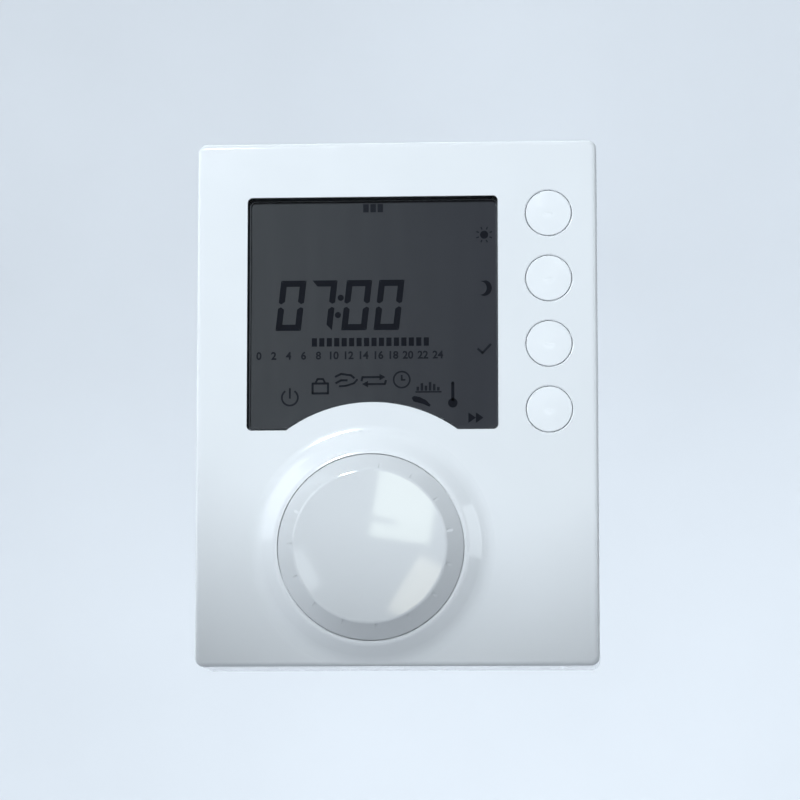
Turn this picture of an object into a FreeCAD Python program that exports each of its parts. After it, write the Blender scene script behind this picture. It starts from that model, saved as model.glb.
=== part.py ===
import FreeCAD
import Part
import math
import os

# Wall-mounted programmable timer for a heating system: a wall plate with its
# terminal block, and a housing that hangs on the plate's two top hooks and
# carries the display, the circuit board, the cells, four buttons and the dial.
#
# Everything is drawn lying on its back: X to the right, Y up the wall and
# Z = height off the wall, all in millimetres. save() then stands it up, so
# that in the files +Z is up, the front looks along -Y and the wall is Y = 0.

V = FreeCAD.Vector
AXIS_X = V(1, 0, 0)
AXIS_Y = V(0, 1, 0)
AXIS_Z = V(0, 0, 1)
ORIGIN = V(0, 0, 0)

# ---- housing outline -------------------------------------------------------
FACE_W = 80.0
FACE_H = 105.0
CORNER_R = 1.8
EDGE_R = 1.0
SIDE_WALL = 1.8
INNER_CORNER_R = 1.5
FRONT_WALL = 2.2
SKIRT_Z = 1.0
FACE_Z = 20.5
INNER_Z = FACE_Z - FRONT_WALL
INNER_W = FACE_W - 2 * SIDE_WALL
INNER_H = FACE_H - 2 * SIDE_WALL
VENT_SLOTS = 7
VENT_PITCH = 3.6
VENT_W = 1.4
VENT_Z0 = 8.0
VENT_Z1 = 13.0
VENT_FIRST_X = -11.5
VENT_FIRST_Y = -43.0

# ---- dial and its mound ----------------------------------------------------
DIAL_X = -4.9
DIAL_Y = -29.15
MOUND_R = 24.5
MOUND_H = 2.6
MOUND_SLOPE = 34.5
MOUND_FOOT_R = 5.0
MOUND_CREST_R = 2.0
RECESS_DEPTH = 0.6
RECESS_Z = FACE_Z + MOUND_H - RECESS_DEPTH
HUB_HOLE_R = 6.5
KNOB_BASE_R = 18.37
KNOB_TOP_R = 15.15
KNOB_BASE_Z = RECESS_Z + 0.3
KNOB_LAND = 0.25
KNOB_TOP_Z = 26.3
KNOB_RIM_R = 0.8
KNOB_WALL = 1.6
KNOB_NOTCHES = 15
KNOB_NOTCH_FIRST = 10.8
KNOB_NOTCH_ANGLE = 2.0
KNOB_NOTCH_LEN = 1.1
KNOB_NOTCH_DEPTH = 0.45
KNOB_WEBS = 3
SHAFT_R = 3.0
SHAFT_FLAT = 1.5
SHAFT_TOP_Z = 24.4

# ---- rotary encoder under the dial -----------------------------------------
ENC_HALF = 6.0
ENC_SHEET = 0.35
ENC_TOP_Z = 19.6
ENC_BASE_TOP_Z = 17.8
ENC_WELL_Z = 16.4
ENC_WELL_R = 5.3
ROTOR_Z0 = 16.9
ROTOR_Z1 = 18.1
ROTOR_R = 5.0
DETENT_R = 4.6
DETENTS = 12

# ---- display ---------------------------------------------------------------
WIN_X0 = -29.9
WIN_X1 = 20.3
WIN_Y0 = -5.65
WIN_Y1 = 41.4
WIN_CORNER_R = 1.0
WIN_ARC_R = 29.05
LEDGE_W = 0.5
LEDGE_T = 0.4
LENS_GAP = 0.08
LENS_SET = 0.2
TAPE_T = 0.15
LCD_X0 = -31.4
LCD_X1 = 21.6
LCD_Y0 = -6.6
LCD_Y1 = 42.4
LCD_TOP_Z = 18.1
GLASS_T = 0.7
POLARISER_T = 0.2
CONTACT_EDGE = 2.4

# ---- push buttons ----------------------------------------------------------
BUTTON_NAMES = ("comfort", "economy", "ok", "next")
BUTTON_X = 30.4
BUTTON_TOP_Y = 37.7
BUTTON_PITCH = 13.15
BUTTON_HOLE_R = 4.65
BUTTON_HOLE_EDGE_R = 0.3
BUTTON_R = 4.53
BUTTON_PROUD = 0.1
BUTTON_FLANGE_R = 5.3
BUTTON_SAG = 0.12
BUTTON_EDGE_R = 0.2
PLUNGER_R = 1.2
PLUNGER_TOP_Z = 17.5
SWITCH_HALF = 3.0
SWITCH_TOP_Z = 16.9
SWITCH_LID_T = 0.2
SWITCH_WELL_Z = 15.85
DOME_RISE = 0.28
DOME_REACH = 1.9
DOME_T = 0.08

# ---- circuit board ---------------------------------------------------------
BOARD_Z = 14.0
BOARD_T = 1.6
BOARD_TOP = BOARD_Z + BOARD_T
BOARD_W = 72.8
BOARD_H = 96.8
BOARD_SCREW_X = 34.0
BOARD_SCREW_Y = 46.0
SCREW_R = 1.1
SCREW_HOLE_R = 1.2
SCREW_HEAD_R = 2.1
SCREW_HEAD_T = 1.5
RECESS_CUT = 0.8
RECESS_ARM = 1.3
RECESS_HALF = 0.3
CRYSTAL_AT = (9.0, 16.0)
CRYSTAL_LEN = 6.0
CAPACITORS_AT = ((27.0, -36.0), (32.0, 6.0))
CAPACITOR_R = 3.1
CAPACITOR_BASE = 0.6

# ---- rear cover, cells and relay -------------------------------------------
REAR_Z = 5.4
REAR_T = 1.4
REAR_W = 72.4
REAR_Y0 = -48.0
REAR_Y1 = 49.4
RIB_T = 1.0
CELL_R = 5.25
CELL_LEN = 43.7
CELL_NUB_R = 1.9
CELL_NUB = 0.8
CELL_X0 = -32.4
CELL_Z = 7.55
CELL_YS = (37.2, 26.2)
CONTACT_T = 0.4
BAY = (-35.2, 15.4, 20.4, 42.6)
BAY_ROOF_Z = 12.95
BAY_ROOF_T = 0.95
CHAMBER = (-20.0, 20.0, -47.4, -18.0)
CHAMBER_ROOF_Z = 9.4
CHAMBER_ROOF_T = 1.2
RELAY = (-33.5, -23.5, -41.5, -21.5)
RELAY_Z = 4.3
CASE_SCREWS = ((-32.0, -14.0), (32.0, -14.0), (0.0, 46.6))
SCREW_BOSS_R = 3.3
SENSOR_X = 24.0
SENSOR_Y = -46.6
POST_R = 2.6
POST_END_Z = 7.2

# ---- wall plate ------------------------------------------------------------
PLATE_T = 1.8
PLATE_W = 75.6
PLATE_Y0 = -49.6
PLATE_Y1 = 46.5
PLATE_RIM_T = 1.2
PLATE_RIM_Z = 4.2
FIX_PITCH = 60.0
FIX_SLOT_R = 2.1
FIX_SLOT_LEN = 8.2
CABLE_X = 11.0
CABLE_Y0 = -27.0
CABLE_Y1 = -9.0
HOOK_X = 20.0
HOOK_HALF = 4.0
HOOK_NOSE_R = 1.2
HOOK_Y = 48.6
HOOK_Z = 3.4
HOOK_GAP = 0.06
LUG_HALF = 5.0

# ---- terminal block --------------------------------------------------------
POLE_PITCH = 8.0
POLE_XS = (-POLE_PITCH, 0.0, POLE_PITCH)
TERM_X = 17.5
TERM_Y0 = -46.2
TERM_Y1 = -34.0
TERM_TOP_Z = 8.6
TERM_EAR_Z = 5.0
CAGE_Y = -38.0
CAGE_Z0 = 2.8
CAGE_Z1 = 7.6
BLADE_Y = -43.6
BLADE_W = 3.0
BLADE_T = 0.8
BLADE_TIP_Z = 13.0
TERM_SCREW_X = 15.0


# ---- small shape helpers ---------------------------------------------------
def box(x0, x1, y0, y1, z0, z1):
    return Part.makeBox(x1 - x0, y1 - y0, z1 - z0, V(x0, y0, z0))


def cyl(x, y, z0, z1, r):
    return Part.makeCylinder(r, z1 - z0, V(x, y, z0))


def lying_cyl(x0, x1, y, z, r):
    return Part.makeCylinder(r, x1 - x0, V(x0, y, z), AXIS_X)


def ring(x, y, z0, z1, r_out, r_in):
    return cyl(x, y, z0, z1, r_out).cut(cyl(x, y, z0 - 1, z1 + 1, r_in))


def slab(x0, x1, y0, y1, z0, z1, r):
    """A plate with its four upright edges rounded."""
    plate = box(x0, x1, y0, y1, z0, z1)
    upright = [e for e in plate.Edges if abs(e.tangentAt(e.FirstParameter).z) > 0.99]
    return plate.makeFillet(r, upright)


def slot_x(x, y, z0, z1, r, length):
    """A round-ended slot that runs along X."""
    half = length / 2 - r
    body = box(x - half, x + half, y - r, y + r, z0, z1)
    return body.multiFuse([cyl(x - half, y, z0, z1, r), cyl(x + half, y, z0, z1, r)])


def revolve(points, angle):
    """Turn a closed (radius, height) outline about the upright line at the origin."""
    outline = Part.makePolygon([V(r, 0, z) for r, z in points + points[:1]])
    return Part.Face(outline).revolve(ORIGIN, AXIS_Z, angle)


def fuse(shapes):
    return shapes[0].multiFuse(shapes[1:]).removeSplitter()


def cut(shape, tools):
    return shape.cut(Part.makeCompound(tools))


def group(shapes):
    return Part.makeCompound(shapes)


def save(name, shape):
    """Stand a shape up against the wall and write it."""
    upright = shape.copy()
    upright.rotate(ORIGIN, AXIS_X, 90)
    upright.exportStep("parts/" + name + ".step")
    solids = upright.Solids
    volume = sum(s.Volume for s in solids)
    print(name, len(solids), "solids", round(volume, 1), "mm3", upright.isValid())


# ---- front cover -----------------------------------------------------------
def mound_outline():
    """Half section of the mound: foot arc, cone, crest arc, then the recess."""
    slope = math.radians(MOUND_SLOPE)
    half = slope / 2
    z_top = FACE_Z + MOUND_H
    foot = V(MOUND_R, 0, FACE_Z)
    foot_mid = V(MOUND_R - MOUND_FOOT_R * math.sin(half), 0,
                 FACE_Z + MOUND_FOOT_R * (1 - math.cos(half)))
    foot_end = V(MOUND_R - MOUND_FOOT_R * math.sin(slope), 0,
                 FACE_Z + MOUND_FOOT_R * (1 - math.cos(slope)))
    crest_z = z_top - MOUND_CREST_R * (1 - math.cos(slope))
    crest_start = V(foot_end.x - (crest_z - foot_end.z) / math.tan(slope), 0, crest_z)
    crest_end = V(crest_start.x - MOUND_CREST_R * math.sin(slope), 0, z_top)
    crest_mid = V(crest_end.x + MOUND_CREST_R * math.sin(half), 0,
                  z_top - MOUND_CREST_R * (1 - math.cos(half)))
    deep = INNER_Z
    corners = [crest_end, V(crest_end.x, 0, RECESS_Z), V(0, 0, RECESS_Z),
               V(0, 0, deep), V(MOUND_R, 0, deep), foot]
    edges = [Part.Arc(foot, foot_mid, foot_end).toShape(),
             Part.LineSegment(foot_end, crest_start).toShape(),
             Part.Arc(crest_start, crest_mid, crest_end).toShape()]
    for a, b in zip(corners, corners[1:]):
        edges.append(Part.LineSegment(a, b).toShape())
    return Part.Wire(edges)


def window_prism(inset, z0, z1):
    """The window's outline, with the bite that the mound takes from its foot."""
    frame = slab(WIN_X0 + inset, WIN_X1 - inset, WIN_Y0 + inset, WIN_Y1 - inset,
                 z0, z1, WIN_CORNER_R)
    bite = cyl(DIAL_X, DIAL_Y, z0 - 1, z1 + 1, WIN_ARC_R + inset)
    return frame.cut(bite)


def board_screw_places():
    return [(sx * BOARD_SCREW_X, sy * BOARD_SCREW_Y) for sx in (-1, 1) for sy in (-1, 1)]


def button_ys():
    return [BUTTON_TOP_Y - i * BUTTON_PITCH for i in range(len(BUTTON_NAMES))]


def top_lug(x):
    """The pocket under the top wall that turns on one of the plate's hooks."""
    lug = box(x - LUG_HALF, x + LUG_HALF, HOOK_Y - 0.6, INNER_H / 2 + 0.5, 1.0, 6.2)
    pocket = lying_cyl(x - LUG_HALF - 1, x + LUG_HALF + 1, HOOK_Y, HOOK_Z,
                       HOOK_NOSE_R + HOOK_GAP)
    return lug.cut(pocket)


def front_cover():
    half_w = FACE_W / 2
    half_h = FACE_H / 2
    shell = slab(-half_w, half_w, -half_h, half_h, SKIRT_Z, FACE_Z, CORNER_R)
    mound = Part.Face(mound_outline()).revolve(ORIGIN, AXIS_Z, 360)
    mound.translate(V(DIAL_X, DIAL_Y, 0))
    envelope = slab(-half_w, half_w, -half_h, half_h, SKIRT_Z, KNOB_TOP_Z, CORNER_R)
    shell = fuse([shell, mound.common(envelope)])
    rim = [e for e in shell.Edges if on_front_rim(e)]
    shell = shell.makeFillet(EDGE_R, rim)
    cavity = slab(-INNER_W / 2, INNER_W / 2, -INNER_H / 2, INNER_H / 2,
                  SKIRT_Z - 1, INNER_Z, INNER_CORNER_R)
    dial_room = cyl(DIAL_X, DIAL_Y, INNER_Z - 1, RECESS_Z - 2.0, 16.5)
    cutters = [cavity, dial_room, cyl(DIAL_X, DIAL_Y, INNER_Z, KNOB_TOP_Z, HUB_HOLE_R),
               window_prism(0.0, INNER_Z + LEDGE_T, FACE_Z + 1),
               window_prism(LEDGE_W, INNER_Z - 1, FACE_Z + 1)]
    cutters += [cyl(BUTTON_X, y, INNER_Z - 1, FACE_Z + 1, BUTTON_HOLE_R) for y in button_ys()]
    shell = cut(shell, cutters + vent_slots())
    hole_rims = [e for e in shell.Edges if on_button_hole(e)]
    shell = shell.makeFillet(BUTTON_HOLE_EDGE_R, hole_rims)
    joined = [shell, top_lug(-HOOK_X), top_lug(HOOK_X)]
    joined += [cyl(x, y, BOARD_TOP, INNER_Z + 0.5, POST_R) for x, y in board_screw_places()]
    joined += [cyl(x, y, POST_END_Z, INNER_Z + 0.5, POST_R) for x, y in CASE_SCREWS]
    shell = fuse(joined)
    pilots = [cyl(x, y, BOARD_TOP - 1, INNER_Z + 0.6, SCREW_HOLE_R)
              for x, y in board_screw_places()]
    pilots += [cyl(x, y, POST_END_Z - 1, POST_END_Z + 9, SCREW_HOLE_R) for x, y in CASE_SCREWS]
    return cut(shell, pilots)


def on_front_rim(edge):
    """True for the edges where the front face meets the four sides."""
    if edge.BoundBox.ZMin < FACE_Z - 0.01:
        return False
    first = edge.FirstParameter
    span = edge.LastParameter - first
    for t in (0.0, 0.5, 1.0):
        p = edge.valueAt(first + span * t)
        on_side = abs(abs(p.x) - FACE_W / 2) < 0.01
        on_end = abs(abs(p.y) - FACE_H / 2) < 0.01
        in_corner = abs(p.x) > FACE_W / 2 - CORNER_R and abs(p.y) > FACE_H / 2 - CORNER_R
        if not (on_side or on_end or in_corner):
            return False
    return True


def on_button_hole(edge):
    """True for the round edges where the button holes meet the front face."""
    round_edge = isinstance(edge.Curve, Part.Circle)
    return round_edge and abs(edge.Curve.Radius - BUTTON_HOLE_R) < 0.01 \
        and edge.BoundBox.ZMin > FACE_Z - 0.01


def vent_slots():
    """Air slots: in low on the right side, past the room sensor, and out at the top."""
    slots = []
    for i in range(VENT_SLOTS):
        y = VENT_FIRST_Y + i * VENT_PITCH
        slots.append(box(INNER_W / 2 - 0.2, FACE_W / 2 + 1, y, y + VENT_W, VENT_Z0, VENT_Z1))
        x = VENT_FIRST_X + i * VENT_PITCH
        slots.append(box(x, x + VENT_W, INNER_H / 2 - 0.2, FACE_H / 2 + 1, VENT_Z0, VENT_Z1))
    return slots


# ---- display ---------------------------------------------------------------
def display_window():
    z0 = INNER_Z + LEDGE_T + TAPE_T
    return window_prism(LENS_GAP, z0, FACE_Z - LENS_SET)


def window_tape():
    z0 = INNER_Z + LEDGE_T
    outer = window_prism(LENS_GAP, z0, z0 + TAPE_T)
    inner = window_prism(LEDGE_W, z0 - 1, z0 + 1)
    return outer.cut(inner)


def lcd_layers():
    """Front polariser, front glass, rear glass and rear polariser, from the front."""
    z = LCD_TOP_Z
    layers = {}
    for name, thick, inset in (("lcd_front_polariser", POLARISER_T, 0.8),
                               ("lcd_front_glass", GLASS_T, 0.0),
                               ("lcd_rear_glass", GLASS_T, CONTACT_EDGE),
                               ("lcd_rear_polariser", POLARISER_T, CONTACT_EDGE + 0.4)):
        side = 0.8 if "polariser" in name else 0.0
        layers[name] = box(LCD_X0 + side, LCD_X1 - side, LCD_Y0 + inset, LCD_Y1 - inset,
                           z - thick, z)
        z -= thick
    return layers


def lcd_frame():
    """The bezel round the glass, with feet on the board and a shelf behind it."""
    gap = 0.1
    z_shelf = LCD_TOP_Z - 2 * POLARISER_T - 2 * GLASS_T
    outer = box(LCD_X0 - 1.1, LCD_X1 + 1.1, LCD_Y0 - 1.1, LCD_Y1 + 1.1, BOARD_TOP, LCD_TOP_Z)
    seat = box(LCD_X0 - gap, LCD_X1 + gap, LCD_Y0 - gap, LCD_Y1 + gap, z_shelf, LCD_TOP_Z + 1)
    well = box(LCD_X0 + 2, LCD_X1 - 2, LCD_Y0 + 3.4, LCD_Y1 - 3.4, BOARD_TOP - 1, LCD_TOP_Z)
    zebra_slots = [box(LCD_X0 + 2, LCD_X1 - 2, y - 1.1, y + 1.1, BOARD_TOP - 1, LCD_TOP_Z)
                   for y in zebra_ys()]
    return cut(outer, [seat, well] + zebra_slots)


def zebra_ys():
    return (LCD_Y0 + 1.15, LCD_Y1 - 1.15)


def zebra_strips():
    """Layered rubber connectors between the board and the glass's contact edges."""
    z1 = LCD_TOP_Z - POLARISER_T - GLASS_T
    return group([box(LCD_X0 + 2.3, LCD_X1 - 2.3, y - 0.9, y + 0.9, BOARD_TOP, z1)
                  for y in zebra_ys()])


# ---- circuit board and what is on it ---------------------------------------
def circuit_board():
    board = slab(-BOARD_W / 2, BOARD_W / 2, -BOARD_H / 2, BOARD_H / 2, BOARD_Z, BOARD_TOP, 1.5)
    holes = [cyl(x, y, BOARD_Z - 1, BOARD_TOP + 1, SCREW_HOLE_R + 0.1)
             for x, y in board_screw_places()]
    for x, y in CASE_SCREWS:
        holes.append(cyl(x, y, BOARD_Z - 1, BOARD_TOP + 1, POST_R + 0.4))
    return cut(board, holes)


def board_screws():
    screws = []
    for x, y in board_screw_places():
        head = cyl(x, y, BOARD_Z - SCREW_HEAD_T, BOARD_Z, SCREW_HEAD_R)
        recess = cross_recess(x, y, BOARD_Z - SCREW_HEAD_T, RECESS_CUT)
        screws.append(fuse([head, cyl(x, y, BOARD_Z, INNER_Z + 0.3, SCREW_R)]).cut(recess))
    return group(screws)


def cross_recess(x, y, z, depth):
    """A cross cut into a screw head that faces the wall, or the room if depth < 0."""
    z0 = min(z - 0.1, z + depth)
    z1 = max(z + 0.1, z + depth)
    across = box(x - RECESS_ARM, x + RECESS_ARM, y - RECESS_HALF, y + RECESS_HALF, z0, z1)
    return across.fuse(box(x - RECESS_HALF, x + RECESS_HALF, y - RECESS_ARM, y + RECESS_ARM,
                           z0, z1))


def case_screws():
    screws = []
    for x, y in CASE_SCREWS:
        seat_z = REAR_Z + 0.9
        head = cyl(x, y, seat_z - SCREW_HEAD_T, seat_z, SCREW_HEAD_R)
        shank = cyl(x, y, seat_z, POST_END_Z + 7, SCREW_R)
        recess = cross_recess(x, y, seat_z - SCREW_HEAD_T, RECESS_CUT)
        screws.append(fuse([head, shank]).cut(recess))
    return group(screws)


def chip(x, y, w, h, t, pins):
    """A flat package under the board with gull-wing leads along two sides."""
    body = box(x - w / 2, x + w / 2, y - h / 2, y + h / 2, BOARD_Z - 0.1 - t, BOARD_Z - 0.1)
    pitch = (w - 1.0) / (pins - 1)
    leads = []
    for i in range(pins):
        px = x - w / 2 + 0.5 + i * pitch
        for side in (-1, 1):
            edge = y + side * h / 2
            y0 = min(edge - side * 0.2, edge + side * 1.0)
            y1 = max(edge - side * 0.2, edge + side * 1.0)
            leads.append(box(px - 0.15, px + 0.15, y0, y1, BOARD_Z - 0.35, BOARD_Z))
    return fuse([body] + leads)


def microcontroller():
    return chip(-2.0, 9.0, 12.0, 10.0, 1.4, 14)


def support_chips():
    return group([chip(18.0, 12.0, 5.0, 4.0, 1.2, 4), chip(26.0, -26.0, 5.0, 4.0, 1.2, 4)])


def chip_grid(places, w, h, t):
    return group([box(x - w / 2, x + w / 2, y - h / 2, y + h / 2, BOARD_Z - t, BOARD_Z)
                  for x, y in places])


def chip_resistors():
    places = [(-16.0 + 2.6 * i, -4.0) for i in range(8)]
    places += [(14.0 + 2.6 * i, 4.0) for i in range(4)]
    return chip_grid(places, 0.85, 1.6, 0.45)


def chip_capacitors():
    places = [(-14.0 + 3.0 * i, -8.0) for i in range(6)]
    places += [(-14.0, 6.0 + 2.4 * i) for i in range(3)]
    places += [(24.0 + 2.4 * i, 18.0) for i in range(3)]
    return chip_grid(places, 1.25, 2.0, 0.8)


def crystal():
    """A small drawn can that lies on the board, with its two leads bent down to it."""
    x, y = CRYSTAL_AT
    z = BOARD_Z - 1.05
    can = lying_cyl(x, x + CRYSTAL_LEN, y, z, 1.0)
    leads = [lying_cyl(x - 1.4, x + 0.2, y + dy, z, 0.15) for dy in (-0.5, 0.5)]
    feet = [cyl(x - 1.2, y + dy, z, BOARD_Z, 0.12) for dy in (-0.5, 0.5)]
    return fuse([can] + leads + feet)


def smoothing_capacitors():
    cans = []
    half = CAPACITOR_R + 0.1
    for x, y in CAPACITORS_AT:
        can = cyl(x, y, BOARD_Z - 6.0, BOARD_Z - CAPACITOR_BASE, CAPACITOR_R)
        base = box(x - half, x + half, y - half, y + half, BOARD_Z - CAPACITOR_BASE, BOARD_Z)
        cans.append(fuse([can, base]))
    return group(cans)


def temperature_sensor():
    """A bead on two long leads, held low by the bottom air slots."""
    bead = Part.makeSphere(1.1, V(SENSOR_X, SENSOR_Y, BOARD_Z - 4.0))
    leads = [cyl(SENSOR_X, SENSOR_Y + dy, BOARD_Z - 4.0, BOARD_Z, 0.2) for dy in (-0.6, 0.6)]
    return fuse([bead] + leads)


def relay():
    x0, x1, y0, y1 = RELAY
    split = BOARD_Z - 0.9
    case = slab(x0, x1, y0, y1, RELAY_Z, split, 0.6)
    base = box(x0 + 0.3, x1 - 0.3, y0 + 0.3, y1 - 0.3, split, BOARD_Z - 0.3)
    pins = [cyl(x, y, BOARD_Z - 0.3, BOARD_Z, 0.45)
            for x, y in ((x0 + 2, y0 + 2), (x1 - 2, y0 + 2), (x0 + 2, y1 - 2),
                         (x1 - 2, y1 - 2), (x0 + 2, y0 + 8))]
    return case, base, group(pins)


def plug_socket():
    """The board's side of the plug-in connection to the terminal block."""
    body = box(-12.0, 12.0, BLADE_Y - 2.9, BLADE_Y + 2.9, CHAMBER_ROOF_Z + CHAMBER_ROOF_T,
               BOARD_Z)
    slots = [box(x - 1.3, x + 1.3, BLADE_Y - 2.4, BLADE_Y + 2.4, BOARD_Z - 6, BOARD_Z - 0.6)
             for x in POLE_XS]
    return cut(body, slots)


def socket_contacts():
    """A spring leaf each side of every blade."""
    z0 = CHAMBER_ROOF_Z + CHAMBER_ROOF_T
    leaves = []
    for x in POLE_XS:
        for side in (-1, 1):
            inner = x + side * (BLADE_T / 2 + 0.15)
            outer = x + side * (BLADE_T / 2 + 0.45)
            leaves.append(box(min(inner, outer), max(inner, outer), BLADE_Y - 1.4, BLADE_Y + 1.4,
                              z0 + 0.3, BOARD_Z - 0.6))
    return group(leaves)


# ---- rear cover ------------------------------------------------------------
def pocket(region, roof_z, roof_t, floor_z):
    """Walls round a region and a roof over it, open towards the wall."""
    x0, x1, y0, y1 = region
    outer = box(x0 - RIB_T, x1 + RIB_T, y0 - RIB_T, y1 + RIB_T, floor_z, roof_z + roof_t)
    return outer, box(x0, x1, y0, y1, floor_z - 1, roof_z)


def rear_cover():
    half = REAR_W / 2
    plate = slab(-half, half, REAR_Y0, REAR_Y1, REAR_Z, REAR_Z + REAR_T, 2.0)
    bay, bay_room = pocket(BAY, BAY_ROOF_Z, BAY_ROOF_T, REAR_Z)
    chamber, chamber_room = pocket(CHAMBER, CHAMBER_ROOF_Z, CHAMBER_ROOF_T, REAR_Z)
    outline = box(-half, half, REAR_Y0, REAR_Y1, REAR_Z, BOARD_Z)
    x0, x1, y0, y1 = RELAY
    hump = box(x0 - 1.5, x1 + 1.5, y0 - 1.5, y1 + 1.5, RELAY_Z - 1.3, REAR_Z + 0.5)
    hump_room = box(x0 - 0.4, x1 + 0.4, y0 - 0.4, y1 + 0.4, RELAY_Z - 0.3, BOARD_Z)
    bosses = [cyl(x, y, REAR_Z - 0.8, POST_END_Z, SCREW_BOSS_R) for x, y in CASE_SCREWS]
    solid = fuse([plate, bay.common(outline), chamber.common(outline), hump] + bosses)
    cutters = [bay_room, chamber_room, hump_room]
    for x, y in CASE_SCREWS:
        cutters.append(cyl(x, y, REAR_Z - 1, POST_END_Z + 1, SCREW_HOLE_R))
        cutters.append(cyl(x, y, REAR_Z - 1, REAR_Z + 0.9, 2.3))
    for sx in (-1, 1):
        cutters.append(box(sx * HOOK_X - LUG_HALF - 0.6, sx * HOOK_X + LUG_HALF + 0.6,
                           43.9 + RIB_T, REAR_Y1 + 1, REAR_Z - 1, REAR_Z + REAR_T + 1))
    for x in POLE_XS:
        cutters.append(box(x - 1.0, x + 1.0, BLADE_Y - 2.4, BLADE_Y + 2.4,
                           CHAMBER_ROOF_Z - 1, CHAMBER_ROOF_Z + CHAMBER_ROOF_T + 1))
    for i in range(6):
        x = 14.0 + i * 3.2
        cutters.append(box(x, x + 1.4, 4.0, 14.0, REAR_Z - 1, REAR_Z + REAR_T + 1))
    return cut(solid, cutters)


# ---- cells and their contacts ----------------------------------------------
def cell(y, flip):
    """A small round cell with its raised end to the right, or left if flipped."""
    x0 = CELL_X0
    x1 = x0 + CELL_LEN
    body = lying_cyl(x0, x1, y, CELL_Z, CELL_R)
    rims = [e for e in body.Edges if e.BoundBox.XLength < 0.01]
    body = body.makeFillet(0.6, rims)
    if flip:
        nub = lying_cyl(x0 - CELL_NUB, x0 + 0.2, y, CELL_Z, CELL_NUB_R)
    else:
        nub = lying_cyl(x1 - 0.2, x1 + CELL_NUB, y, CELL_Z, CELL_NUB_R)
    return fuse([body, nub])


def spring(x_tip, side, y, height):
    """A cone of wire whose narrow end bears on the cell's flat end."""
    tip_r = 1.9
    foot_r = 3.5
    wire_r = 0.3
    turns = 2.5
    cone = math.degrees(math.atan2(foot_r - tip_r, height))
    helix = Part.makeHelix(height / turns, height, tip_r, cone)
    start = helix.Edges[0]
    at = start.FirstParameter
    section = Part.Wire([Part.makeCircle(wire_r, start.valueAt(at), start.tangentAt(at))])
    wire = Part.Wire(helix.Edges).makePipeShell([section], True, True)
    wire.rotate(ORIGIN, AXIS_Y, side * 90)
    wire.translate(V(x_tip + side * (wire_r + 0.05), y, CELL_Z))
    return wire


def contact_plate(x0, x1, y0, y1):
    return box(x0, x1, y0, y1, CELL_Z - 4.2, CELL_Z + 4.2)


def battery_springs():
    upper, lower = CELL_YS
    cell_x1 = CELL_X0 + CELL_LEN
    left_room = CELL_X0 - BAY[0] - CONTACT_T
    right_room = BAY[1] - CONTACT_T - cell_x1
    wire_room = 0.8
    return group([spring(CELL_X0, -1, upper, left_room - wire_room),
                  spring(cell_x1, 1, lower, right_room - wire_room)])


def battery_tabs():
    """The two plates at the left, the lower one with a dimple for the raised end."""
    upper, lower = CELL_YS
    left = BAY[0]
    upper_tab = contact_plate(left, left + CONTACT_T, upper - 4.2, upper + 4.2)
    lower_tab = contact_plate(left, left + CONTACT_T, lower - 4.2, lower + 4.2)
    dimple = lying_cyl(left + CONTACT_T, CELL_X0 - CELL_NUB - 0.05, lower, CELL_Z, 1.6)
    return group([upper_tab, fuse([lower_tab, dimple])])


def battery_link():
    """The plate at the right that joins the two cells in series."""
    upper, lower = CELL_YS
    right = BAY[1]
    plate = contact_plate(right - CONTACT_T, right, lower - 4.2, upper + 4.2)
    nub_x = CELL_X0 + CELL_LEN + CELL_NUB
    return fuse([plate, lying_cyl(nub_x + 0.05, right - CONTACT_T, upper, CELL_Z, 1.6)])


# ---- rotary encoder and dial -----------------------------------------------
def encoder_base():
    body = box(DIAL_X - ENC_HALF, DIAL_X + ENC_HALF, DIAL_Y - ENC_HALF, DIAL_Y + ENC_HALF,
               BOARD_TOP, ENC_BASE_TOP_Z)
    well = cyl(DIAL_X, DIAL_Y, ENC_WELL_Z, ENC_TOP_Z, ENC_WELL_R)
    return body.cut(well)


def encoder_cover():
    out = ENC_HALF + ENC_SHEET
    can = box(DIAL_X - out, DIAL_X + out, DIAL_Y - out, DIAL_Y + out, BOARD_TOP, ENC_TOP_Z)
    room = box(DIAL_X - ENC_HALF, DIAL_X + ENC_HALF, DIAL_Y - ENC_HALF, DIAL_Y + ENC_HALF,
               BOARD_TOP - 1, ENC_TOP_Z - 0.5)
    windows = [box(DIAL_X - 3.5, DIAL_X + 3.5, DIAL_Y - out - 1, DIAL_Y + out + 1,
                   BOARD_TOP - 1, BOARD_TOP + 1.2)]
    bore = cyl(DIAL_X, DIAL_Y, ENC_TOP_Z - 1, ENC_TOP_Z + 1, SHAFT_R + 0.06)
    return cut(can, [room, bore] + windows)


def encoder_detent_spring():
    band = ring(DIAL_X, DIAL_Y, 18.8, 19.1, 5.6, 3.6)
    bump = cyl(DIAL_X + DETENT_R, DIAL_Y, 18.45, 18.9, 0.6)
    return fuse([band, bump])


def encoder_contacts():
    fingers = []
    for i in range(3):
        y = DIAL_Y - 3.0 + i * 3.0
        fingers.append(box(DIAL_X - 3.7, DIAL_X - 0.8, y - 0.5, y + 0.5,
                           ENC_WELL_Z, ENC_WELL_Z + 0.2))
    return group(fingers)


def encoder_rotor():
    disc = ring(DIAL_X, DIAL_Y, ROTOR_Z0, ROTOR_Z1, ROTOR_R, SHAFT_R + 0.02)
    notches = []
    for i in range(DETENTS):
        a = math.radians(360.0 / DETENTS * (i + 0.5))
        notches.append(cyl(DIAL_X + DETENT_R * math.cos(a), DIAL_Y + DETENT_R * math.sin(a),
                           ROTOR_Z1 - 0.3, ROTOR_Z1 + 1, 0.5))
    return cut(disc, notches)


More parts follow.
